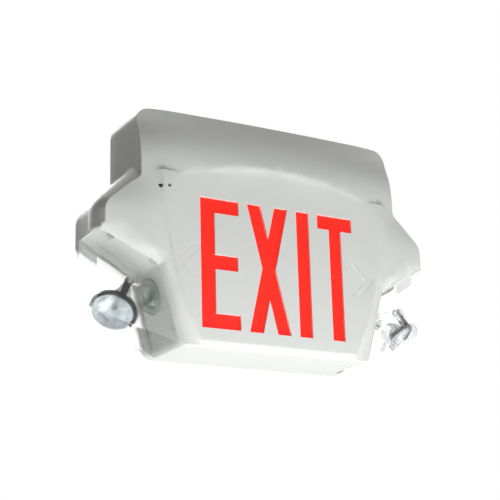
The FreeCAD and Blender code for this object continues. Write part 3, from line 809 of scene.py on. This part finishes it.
@dataclass(frozen=True)
class WingWall:
    """Outer wall of a wing: sloping shoulder edge and tip, just under the moulded surface.

    Attributes:
        back_y: Where the wall starts, behind the seam.
        front_y: Where it ends, short of the rolled front edge.
        inset: How far it lies below the nominal surface.
        thick: Its thickness.
        face_y: Depth of the legend face.
        tower: Half width of the upper block at the face, and how much wider it is at the wall.
        tip: The same over the wing tips.
        start_z: Height at which the strip starts on the upper block.
        shoulder: Height and radius of the corner where the wing leaves the upper block.
        tip_top: Height and radius of the upper corner of the tip.
        tip_bottom: Height and radius of its lower corner.
        tail: How far the strip runs on under the tip, inwards and down.
        arc_steps: Steps round each corner.
        sharp_degrees: Edges that turn more than this stay sharp.
    """

    back_y: float = -13.2
    front_y: float = -57.0
    inset: float = 0.15
    thick: float = 2.2
    face_y: float = -90.0
    tower: Point2 = (171.0, 3.4)
    tip: Point2 = (219.5, -3.6)
    start_z: float = 74.0
    shoulder: Point2 = (66.0, 5.0)
    tip_top: Point2 = (19.0, 26.0)
    tip_bottom: Point2 = (-11.0, 4.0)
    tail: Point2 = (9.0, 4.9)
    arc_steps: int = 10
    sharp_degrees: float = 28

    def build(self) -> None:
        """Builds the walls of both wings as one piece."""
        sides = [self._strip(sign) for sign in (1, -1)]
        mesh = joined("wing_walls", sides)
        shade(mesh, self.sharp_degrees)
        piece = make_object("wing_walls", mesh, HOUSING)
        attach(piece, "housing")

    def _path(self, y: float) -> list[Vector]:
        """Rounded edge of the right wing at one depth, from the shoulder down to the lamp bay.

        Args:
            y: The depth.

        Returns:
            Points in the XZ plane.
        """
        back = (y - self.face_y) / -self.face_y
        tower = self.tower[0] + self.tower[1] * back
        tip = self.tip[0] + self.tip[1] * back
        turns = [(tower, *self.shoulder), (tip, *self.tip_top), (tip, *self.tip_bottom)]
        end = (tip - self.tail[0], self.tip_bottom[0] - self.tail[1])
        corners = [(tower, self.start_z)] + [(x, z) for x, z, _ in turns] + [end]
        radii = [0.0] + [radius for _, _, radius in turns] + [0.0]
        points = [Vector(corners[0])]
        for i in range(1, len(corners) - 1):
            corner = Vector(corners[i])
            before = (Vector(corners[i - 1]) - corner).normalized()
            after = (Vector(corners[i + 1]) - corner).normalized()
            half = before.angle(after) / 2
            reach = radii[i] / math.tan(half)
            middle = corner + (before + after).normalized() * radii[i] / math.sin(half)
            first, last = corner + before * reach - middle, corner + after * reach - middle
            for k in range(self.arc_steps + 1):
                # slerp gives a unit vector
                points.append(middle + first.slerp(last, k / self.arc_steps) * radii[i])
        points.append(Vector(corners[-1]))
        return points

    def _strip(self, sign: int) -> bpy.types.Mesh:
        """The wall of one wing.

        Args:
            sign: 1 for the right wing and -1 for the left.

        Returns:
            A closed mesh.
        """
        sections = []
        for y in (self.back_y, self.front_y):
            path = self._path(y)
            for depth in (self.inset, self.inset + self.thick):
                row = []
                for i, point in enumerate(path):
                    along = (path[min(i + 1, len(path) - 1)] - path[max(i - 1, 0)]).normalized()
                    inward = Vector((along.y, -along.x))
                    moved = point + inward * depth
                    row.append((sign * moved.x, y, moved.y))
                sections.append(row)
        count = len(sections[0])
        points = [p for row in sections for p in row]
        order = (0, 1, 3, 2)
        faces = []
        for a, b in zip(order, order[1:] + order[:1]):
            for i in range(count - 1):
                faces.append((a * count + i, b * count + i, b * count + i + 1, a * count + i + 1))
        for i in (0, count - 1):
            faces.append(tuple(a * count + i for a in order))
        return mesh_from("wing_wall", points, faces)


def weld(mesh: bpy.types.Mesh) -> None:
    """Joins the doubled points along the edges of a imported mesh.

    Args:
        mesh: The mesh to change; never a CAD node's own.
    """
    form = bmesh.new()
    form.from_mesh(mesh)
    bmesh.ops.remove_doubles(form, verts=form.verts, dist=2e-6)
    bmesh.ops.recalc_face_normals(form, faces=form.faces)
    form.to_mesh(mesh)
    form.free()


def weigh(piece: bpy.types.Object) -> None:
    """Lets big faces lead the shading of the small ones beside them.

    Args:
        piece: The object to change.
    """
    modifier = piece.modifiers.new("weigh", "WEIGHTED_NORMAL")
    modifier.keep_sharp = True
    baked(piece)


# ------------------------------------------------------------------ the lamps
@dataclass
class LampBay:
    """One aimed lamp with its swivel, on the right (sign 1) or the left (sign -1).

    Attributes:
        sign: Side of the sign.
        face: Centre of the lamp's rim.
        aim: Direction of its beam.
        rim_r: Radius of the rim.
        depth: Depth of the bowl.
        throat_r: Radius of the mirror at its throat.
        neck_r: Radius of the neck behind the bowl.
        neck_len: Length of the neck.
        bore_r: Radius of the bore through the neck.
        wall: Thickness of the bowl.
        slack: Gap to the pieces round the bowl.
        rim_t: How far the mirror's edge lies behind the rim's front.
        rim_w: How far it lies inside the rim's radius.
        rim_form: Section of the rim: how far inside its radius, and height.
        bowl_power: Power that the mirror's radius grows with.
        ring_power: Power that spreads the rings of facets.
        facet_rings: Rings of facets.
        facets_round: Facets in a ring.
        facet_rise: How far a facet's middle stands out.
        outer_steps: Steps along the outside of the bowl.
        glass_w: How far the glass's edge lies inside the rim's radius.
        glass_edge_h: Height of the edge of the front glass.
        glass_rise: How far its front domes out.
        glass_steps: Steps along that dome.
        glass_back: Its back: share of the radius, and height.
        screw_head_t: Thickness of the tilt screw's head.
        screw_crown: Its crown: share of the radius, and height.
        shank_r: Radius of its shank.
        slot_half_w: Half width of its slot.
        slot_depth: Depth of its slot.
        slot_reach: Half length of the slot's cutter.
        washer_r: Radius of the washer.
        washer_gap: Gap between washer and head.
    """

    sign: int
    face: Point3 = (189.7, -45.7, -99.3)
    aim: Point3 = (0.473, -0.473, -0.743)
    rim_r: float = 25.0
    depth: float = 22.0
    throat_r: float = 7.5
    neck_r: float = 6.6
    neck_len: float = 13.0
    bore_r: float = 2.7
    wall: float = 1.55
    slack: float = 0.05
    rim_t: float = 1.6
    rim_w: float = 2.2
    rim_form: tuple[Point2, ...] = (
        (0.4, -1.7), (0.05, -1.3), (0.05, -0.35), (0.35, -0.05), (2.0, -0.05), (2.2, -0.4),
    )
    bowl_power: float = 0.62
    ring_power: float = 1.3
    facet_rings: int = 7
    facets_round: int = 32
    facet_rise: float = 0.55
    outer_steps: int = 12
    glass_w: float = 2.3
    glass_edge_h: float = -0.1
    glass_rise: float = 2.95
    glass_steps: int = 10
    glass_back: tuple[Point2, ...] = ((0.0, 1.1), (0.5, 0.5), (0.85, -0.9), (1.0, -1.5))
    screw_head_t: float = 2.0
    screw_crown: tuple[Point2, ...] = (
        (1.0, -2.0), (1.0, -0.5), (0.8, -0.12), (0.4, -0.02), (0.0, -0.02),
    )
    shank_r: float = 1.5
    slot_half_w: float = 0.4
    slot_depth: float = 0.9
    slot_reach: float = 4.0
    washer_r: float = 4.9
    washer_gap: float = 0.15

    def __post_init__(self) -> None:
        """Finds the names and the frame of this side."""
        self.side = "right" if self.sign > 0 else "left"
        self.lamp_body = f"{self.side}_lamp"
        self.swivel_body = f"{self.side}_swivel"
        face = Vector((self.sign * self.face[0], self.face[1], self.face[2]))
        aim = Vector((self.sign * self.aim[0], self.aim[1], self.aim[2]))
        self.place = axes(face, aim, Vector((0, 0, 1)))

    def build(self) -> None:
        """Builds the lamp's bowl, its front glass and its tilt screw with washer."""
        self._bowl()
        self._lens()
        self._screw()

    def _bowl_radius(self, t: float) -> float:
        """Radius of the mirror at a share of the way from throat to rim.

        Args:
            t: 0 at the throat and 1 at the rim.

        Returns:
            The radius in millimetres.
        """
        widening = self.rim_r - self.rim_w - self.throat_r
        return self.throat_r + widening * t**self.bowl_power

    def _bowl(self) -> None:
        """Pressed bowl: smooth outside, rings of flat facets inside."""
        rings, outer = [], []
        for k in range(self.facet_rings + 1):
            t = (k / self.facet_rings) ** self.ring_power
            height = -(self.depth - self.rim_t) * (1 - t) - self.rim_t
            rings.append((self._bowl_radius(t), height))
        for k in range(self.outer_steps + 1):
            t = k / self.outer_steps
            height = -self.depth * (1 - t) - self.rim_t - 0.02
            outer.append((self._bowl_radius(t) + self.wall, height))
        low = -self.depth - self.rim_t
        neck_end, neck_out = low - self.neck_len + self.slack, self.neck_r - self.slack
        shell = [(self.bore_r, rings[0][1]), (self.bore_r, neck_end)]
        shell += [(neck_out, neck_end), (neck_out, low)] + outer
        shell += [(self.rim_r - inside, height) for inside, height in self.rim_form]
        points: list[Vector] = []
        faces: list[tuple[int, ...]] = []
        smooth_part = lathe("bowl_shell", shell, self.place, 90, closed=False)
        count = self.facets_round
        for r, h in rings:
            for k in range(count):
                a = 2 * math.pi * k / count
                points.append(self.place @ Vector((r * math.cos(a), r * math.sin(a), h)))
        for j in range(len(rings) - 1):
            (r0, h0), (r1, h1) = rings[j], rings[j + 1]
            for k in range(count):
                a = 2 * math.pi * (k + 0.5) / count
                r, h = (r0 + r1) / 2 - self.facet_rise, (h0 + h1) / 2 + self.facet_rise
                points.append(self.place @ Vector((r * math.cos(a), r * math.sin(a), h)))
                peak = len(points) - 1
                ring = [j * count + k, j * count + (k + 1) % count]
                ring += [(j + 1) * count + (k + 1) % count, (j + 1) * count + k]
                faces += [(ring[i], ring[(i + 1) % 4], peak) for i in range(4)]
        mirror = mesh_from("bowl_mirror", points, faces)
        shade(smooth_part, 35)
        mesh = joined(f"lamp_bowl_{self.side}", [smooth_part, mirror])
        piece = make_object(f"lamp_bowl_{self.side}", mesh, MIRROR)
        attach(piece, self.lamp_body)
        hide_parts(f"lamp_reflector_{self.side}")

    def _screw(self) -> None:
        """Slotted tilt screw on a dished washer."""
        low, high = corners_mm(f"tilt_screw_{self.side}")
        middle = ((low.x + high.x) / 2, low.y, (low.z + high.z) / 2)
        head_r, head_t = (high.x - low.x) / 2, self.screw_head_t
        place = axes(middle, Vector((0, -1, 0)), Vector((1, 0, 0.7)))
        end = low.y - high.y
        shank = [(0.0, end), (self.shank_r, end), (self.shank_r, -head_t)]
        crown = [(head_r * share, height) for share, height in self.screw_crown]
        turned = lathe("screw", shank + crown, place, 48)
        head = make_object(f"tilt_screw_head_{self.side}", turned, PLATED)
        slot_points = [
            place @ Vector((x, y, z))
            for x in (-self.slot_reach, self.slot_reach)
            for y in (-self.slot_half_w, self.slot_half_w)
            for z in (-self.slot_depth, 0.5)
        ]
        box_faces = [
            (0, 1, 3, 2), (4, 6, 7, 5), (0, 4, 5, 1), (2, 3, 7, 6), (0, 2, 6, 4), (1, 5, 7, 3),
        ]
        cut(head, make_object("slot", mesh_from("slot", slot_points, box_faces)))
        shade(head.data, 35)
        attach(head, self.swivel_body)
        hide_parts(f"tilt_screw_{self.side}")
        bore, bottom = head_r + self.washer_gap, -head_t + self.slack
        dish = [(bore, bottom), (self.washer_r, bottom), (self.washer_r, -head_t + 0.5)]
        dish += [(self.washer_r - 0.5, -head_t + 0.8), (bore, -head_t + 0.4)]
        mesh = lathe(f"tilt_washer_{self.side}", dish, place, 56)
        shade(mesh, 35)
        washer = make_object(mesh.name, mesh, PLATED)
        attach(washer, self.lamp_body)

    def _lens(self) -> None:
        """Domed front glass, seated in the rim."""
        edge = self.rim_r - self.glass_w
        front = []
        for k in range(self.glass_steps + 1):
            a = math.pi / 2 * k / self.glass_steps
            height = self.glass_edge_h + self.glass_rise * math.sin(a)
            front.append((edge * math.cos(a), height))
        back = [(edge * share, height) for share, height in self.glass_back]
        mesh = lathe(f"lamp_glass_{self.side}", back + front, self.place, 72)
        shade(mesh, 40)
        piece = make_object(mesh.name, mesh, PRESSED)
        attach(piece, self.lamp_body)
        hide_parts(f"lamp_lens_{self.side}")


# ------------------------------------------------------------------ small hardware
@dataclass(frozen=True)
class BackScrews:
    """Pan-head screws that hold the back plate to the bosses of the front.

    Attributes:
        places: Where they sit, in the XZ plane.
        head_r: Radius of the head.
        head_h: Height of the head.
        shank_r: Radius of the shank.
        shank_len: Length of the shank that is modelled.
        sink: How far the seat lies below the back of the plate.
    """

    places: tuple[Point2, ...] = (
        (-155.0, 118.0), (155.0, 118.0), (-108.0, -126.0), (108.0, -126.0),
    )
    head_r: float = 3.4
    head_h: float = 1.9
    shank_r: float = 1.5
    shank_len: float = 3.0
    sink: float = 2.0

    def build(self) -> None:
        """Puts one screw into each hole of the back plate."""
        profile = [(0.0, -self.shank_len), (self.shank_r, -self.shank_len), (self.shank_r, 0.0)]
        profile += [(self.head_r, 0.0), (self.head_r, 0.9), (self.head_r * 0.75, 1.6)]
        profile += [(self.head_r * 0.3, self.head_h), (0.0, self.head_h)]
        head = lathe("screw_pattern", profile, Matrix.Identity(4), 32)
        shade(head, 40)
        _, high = corners_mm("back_plate")
        seat_y = high.y - self.sink
        out, across = Vector((0, 1, 0)), Vector((1, 0, 0))
        places = [axes((x, seat_y, z), out, across) for x, z in self.places]
        piece = Repeater.run("back_screws", head, places, PLATED)
        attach(piece, "housing")


# ------------------------------------------------------------------ the studio
@dataclass(frozen=True)
class SoftLamp:
    """A square soft lamp aimed at the sign.

    Attributes:
        name: Its name.
        place: Where it stands, in metres.
        size: Side of its square in metres.
        power: Its power in watts.
    """

    name: str
    place: Point3
    size: float
    power: float

    def build(self) -> None:
        """Adds the lamp."""
        lamp = bpy.data.lights.new(self.name, "AREA")
        lamp.size = self.size
        lamp.energy = self.power
        holder = bpy.data.objects.new(self.name, lamp)
        holder.location = self.place
        holder.rotation_euler = (-Vector(self.place)).to_track_quat("-Z", "Y").to_euler()
        bpy.context.scene.collection.objects.link(holder)


@dataclass(frozen=True)
class Studio:
    """Floor, lights, white surroundings and camera.

    Attributes:
        floor_z: Height of the floor in metres.
        floor_half: Half its side in metres.
        floor_lift: How much the floor is lightened where it is seen.
        ambient: Strength of the light from all round.
        lamps: The soft lamps.
        camera_at: Place of the camera in metres.
        camera_right: Its right.
        camera_up: Its up.
        camera_back: The way out of its back.
        lens: Its focal length in millimetres.
        sensor: Width of its sensor in millimetres.
    """

    floor_z: float = -1.35
    floor_half: float = 6.0
    floor_lift: float = 0.66
    ambient: float = 0.035
    lamps: tuple[SoftLamp, ...] = (
        SoftLamp("key", (0.12, -0.62, -1.05), 0.7, 13.0),
        SoftLamp("fill", (0.25, -1.8, -0.5), 1.2, 11.0),
        SoftLamp("low_side", (-0.55, -0.2, -1.1), 0.5, 2.0),
        SoftLamp("back", (0.25, 1.6, 0.6), 1.4, 23.0),
        SoftLamp("top", (0.2, 0.9, 1.8), 1.4, 12.0),
    )
    camera_at: Point3 = (-0.7365, -1.3210, -0.4558)
    camera_right: Point3 = (0.87375, -0.48563, -0.02695)
    camera_up: Point3 = (-0.12, -0.26894, 0.95565)
    camera_back: Point3 = (-0.47134, -0.83177, -0.29326)
    lens: float = 93.11
    sensor: float = 36.0

    def build(self) -> None:
        """Builds the floor, the lights, the surroundings and the camera."""
        scene = bpy.context.scene
        scene.view_settings.view_transform = "Standard"
        self._world(scene)
        self._floor()
        for lamp in self.lamps:
            lamp.build()
        camera = bpy.data.objects.new("camera", bpy.data.cameras.new("camera"))
        camera.data.lens = self.lens
        camera.data.sensor_width = self.sensor
        turn = Matrix((self.camera_right, self.camera_up, self.camera_back)).transposed()
        camera.matrix_world = Matrix.Translation(self.camera_at) @ turn.to_4x4()
        scene.collection.objects.link(camera)
        scene.camera = camera

    def _world(self, scene: bpy.types.Scene) -> None:
        """Makes surroundings that are seen and mirrored white and light the sign softly.

        Args:
            scene: The scene.
        """
        world = bpy.data.worlds.new("studio")
        scene.world = world
        world.use_nodes = True
        tree = world.node_tree
        tree.nodes.clear()
        path = add_node(tree, "ShaderNodeLightPath").outputs
        rays = {0: path["Is Camera Ray"], 1: path["Is Glossy Ray"]}
        seen = add_node(tree, "ShaderNodeMath", rays, operation="MAXIMUM")
        rays = {0: seen.outputs[0], 1: path["Is Transmission Ray"]}
        any_seen = add_node(tree, "ShaderNodeMath", rays, operation="MAXIMUM")
        soft, bright = (
            add_node(tree, "ShaderNodeBackground", {"Color": WHITE, "Strength": strength})
            for strength in (self.ambient, 1.0)
        )
        shares = {0: any_seen.outputs[0], 1: soft.outputs[0], 2: bright.outputs[0]}
        mix = add_node(tree, "ShaderNodeMixShader", shares)
        add_node(tree, "ShaderNodeOutputWorld", {"Surface": mix.outputs[0]})

    def _floor(self) -> None:
        """Lays the pale floor, lightened where it is seen, so that it keeps the shadow."""
        h, z = self.floor_half, self.floor_z
        mesh = bpy.data.meshes.new("floor")
        mesh.from_pydata([(-h, -h, z), (h, -h, z), (h, h, z), (-h, h, z)], [], [(0, 1, 2, 3)])
        floor = make_object("floor", mesh, PAINT)
        tree = PAINT.material().node_tree
        seen = add_node(tree, "ShaderNodeLightPath").outputs["Is Camera Ray"]
        shares = {0: seen, 1: self.floor_lift}
        lift = add_node(tree, "ShaderNodeMath", shares, operation="MULTIPLY")
        glow = {"Emission Color": WHITE, "Emission Strength": lift.outputs[0]}
        set_inputs(tree, tree.nodes["Principled BSDF"], glow)


def dress_nodes(frame: dict) -> None:
    """Gives every CAD node its finish.

    Args:
        frame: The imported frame.
    """
    for name, node in frame["nodes"].items():
        base = name.removesuffix("_right").removesuffix("_left")
        finish = NODE_FINISHES.get(base, HOUSING)
        node.data.materials.clear()
        node.data.materials.append(finish.material())


def main() -> None:
    """Builds the dressed exit light."""
    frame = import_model()
    dress_nodes(frame)
    Housing().build(frame)
    LOG.info("housing front with its legend")
    WingWall().build()
    LOG.info("wing walls")
    for sign in (1, -1):
        bay = LampBay(sign)
        bay.build()
        LOG.info("lamp bay on the %s", bay.side)
    BackScrews().build()
    LOG.info("screws of the back plate")
    Studio().build()
    LOG.info("studio")


if __name__ == "__main__":
    logging.basicConfig(level=logging.INFO)
    main()
